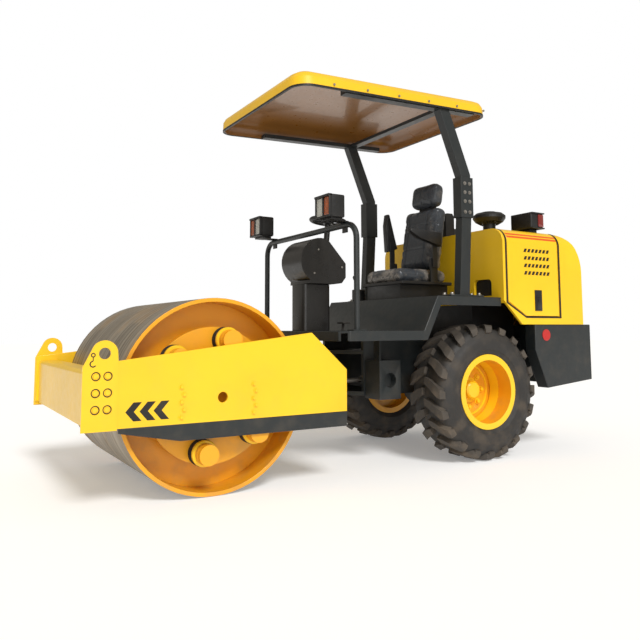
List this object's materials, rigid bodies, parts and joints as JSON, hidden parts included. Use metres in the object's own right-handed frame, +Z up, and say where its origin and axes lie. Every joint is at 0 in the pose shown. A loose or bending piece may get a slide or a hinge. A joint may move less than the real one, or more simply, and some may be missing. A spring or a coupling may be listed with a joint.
{
  "type": "road roller",
  "caption": "Small articulated single-drum road roller with canopy, rear tyres, hinged engine doors and pivot steering.",
  "frame": {"origin": "on the ground, midway along the machine and on its centre plane", "axes": "+X forward to the drum, +Y to the machine's left, +Z up"},
  "size_m": [3.44, 1.334, 2.3453],
  "materials": {
    "yellow_paint": "gloss yellow machine paint",
    "slate_paint": "dark slate paint",
    "black_plastic": "black moulded plastic",
    "drum_steel": "worn rolled steel",
    "bare_steel": "bare machined steel",
    "tyre_rubber": "dusty treaded rubber",
    "seat_fabric": "blue-grey seat fabric",
    "engine_metal": "plain block standing for the engine"
  },
  "bodies": {
    "rear_chassis": {"hood_shell": "yellow_paint", "canopy_roof": "yellow_paint", "rear_counterweight": "slate_paint", "chassis_frame": "slate_paint", "frame_side_box": "slate_paint", "rear_axle": "slate_paint", "operator_platform": "slate_paint", "rops_post_left": "slate_paint", "rops_post_right": "slate_paint", "rops_top_frame": "slate_paint", "handrail": "slate_paint", "steering_cylinder_barrel": "slate_paint", "air_precleaner": "black_plastic", "exhaust_stack": "black_plastic", "rear_lamp_left": "black_plastic", "rear_lamp_right": "black_plastic", "seat_base": "black_plastic", "seat_back_frame": "black_plastic", "armrest_left": "black_plastic", "armrest_right": "black_plastic", "console_pedestal": "black_plastic", "console_head": "black_plastic", "headlamp_left": "black_plastic", "headlamp_right": "black_plastic", "lever_console": "black_plastic", "seat_cushion": "seat_fabric", "seat_backrest": "seat_fabric", "seat_headrest": "seat_fabric", "engine_block": "engine_metal"},
    "front_frame": {"side_plate_left": "yellow_paint", "side_plate_right": "yellow_paint", "lifting_lug_left": "yellow_paint", "lifting_lug_right": "yellow_paint", "lower_guard_left": "slate_paint", "lower_guard_right": "slate_paint", "front_beam": "yellow_paint", "rear_beam": "yellow_paint", "scraper_front": "slate_paint", "scraper_rear": "slate_paint", "drum_carrier_left": "yellow_paint", "drum_carrier_right": "yellow_paint"},
    "drum": {"drum_shell": "drum_steel", "drum_head_left": "yellow_paint", "drum_head_right": "yellow_paint"},
    "wheel_left": {"tyre_left": "tyre_rubber", "rim_left": "yellow_paint"},
    "wheel_right": {"tyre_right": "tyre_rubber", "rim_right": "yellow_paint"},
    "steering_wheel": {"steering_wheel": "black_plastic"},
    "engine_door_left": {"engine_door_left": "yellow_paint"},
    "engine_door_right": {"engine_door_right": "yellow_paint"},
    "articulation_hub": {"articulation_hub": "slate_paint"},
    "steering_cylinder_rod": {"steering_cylinder_rod": "bare_steel"}
  },
  "joints": [
    {"name": "steering", "type": "hinge", "parent": "rear_chassis", "child": "articulation_hub", "pos_m": [0.08, 0, 0.49], "axis": [0, 0, 1], "range_deg": [-30, 30]},
    {"name": "oscillation", "type": "hinge", "parent": "articulation_hub", "child": "front_frame", "pos_m": [0.33, 0, 0.49], "axis": [1, 0, 0], "range_deg": [-8, 8]},
    {"name": "drum_roll", "type": "hinge", "parent": "front_frame", "child": "drum", "pos_m": [1.06, 0, 0.485], "axis": [0, 1, 0], "continuous": true},
    {"name": "wheel_left_spin", "type": "hinge", "parent": "rear_chassis", "child": "wheel_left", "pos_m": [-0.72, 0.508, 0.42], "axis": [0, 1, 0], "continuous": true},
    {"name": "wheel_right_spin", "type": "hinge", "parent": "rear_chassis", "child": "wheel_right", "pos_m": [-0.72, -0.508, 0.42], "axis": [0, 1, 0], "continuous": true},
    {"name": "steering_wheel_turn", "type": "hinge", "parent": "rear_chassis", "child": "steering_wheel", "pos_m": [0.05691, 0, 1.49929], "axis": [-0.1045, 0, 0.9945], "continuous": true},
    {"name": "engine_door_left_swing", "type": "hinge", "parent": "rear_chassis", "child": "engine_door_left", "pos_m": [-1.1625, 0.5455, 1.472], "axis": [1, 0, 0], "range_deg": [0, 75]},
    {"name": "engine_door_right_swing", "type": "hinge", "parent": "rear_chassis", "child": "engine_door_right", "pos_m": [-1.1625, -0.5455, 1.472], "axis": [-1, 0, 0], "range_deg": [0, 75]},
    {"name": "steering_cylinder_stroke", "type": "slide", "parent": "rear_chassis", "child": "steering_cylinder_rod", "axis": [1, 0, 0], "range_m": [-0.085, 0.085]}
  ],
  "couplings": [
    {"joint": "steering_cylinder_stroke", "follows": "steering", "m_per_rad": -0.15}
  ]
}
